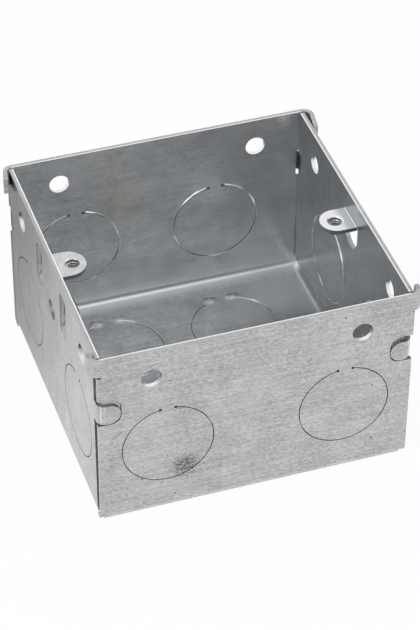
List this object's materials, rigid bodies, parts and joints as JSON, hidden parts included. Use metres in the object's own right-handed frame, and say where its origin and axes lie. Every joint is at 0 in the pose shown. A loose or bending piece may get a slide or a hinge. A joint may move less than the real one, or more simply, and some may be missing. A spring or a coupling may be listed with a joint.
{
  "type": "metal back box",
  "caption": "Square open box folded from galvanised sheet steel, with round conduit knockouts, plain side holes, and a fixed and a sliding tapped lug for an accessory plate.",
  "frame": {"origin": "centre of the base's underside, midway between the two fixing slots", "axes": "+X towards the fixed lug, along the front wall; +Y from the front wall to the back wall; +Z out of the open mouth"},
  "size_m": [0.0751, 0.071, 0.046],
  "materials": {
    "galvanised_sheet": "mottled satin zinc, finely streaked",
    "galvanised_lug": "bright satin zinc",
    "brass_screw": "turned brass"
  },
  "bodies": {
    "box": {"box_body": "galvanised_sheet", "earth_screw": "brass_screw"},
    "lug": {"sliding_lug": "galvanised_lug"}
  },
  "joints": [
    {"name": "lug_slide", "type": "slide", "parent": "box", "child": "lug", "axis": [0, 1, 0], "range_m": [-0.00585, 0.00005]}
  ]
}
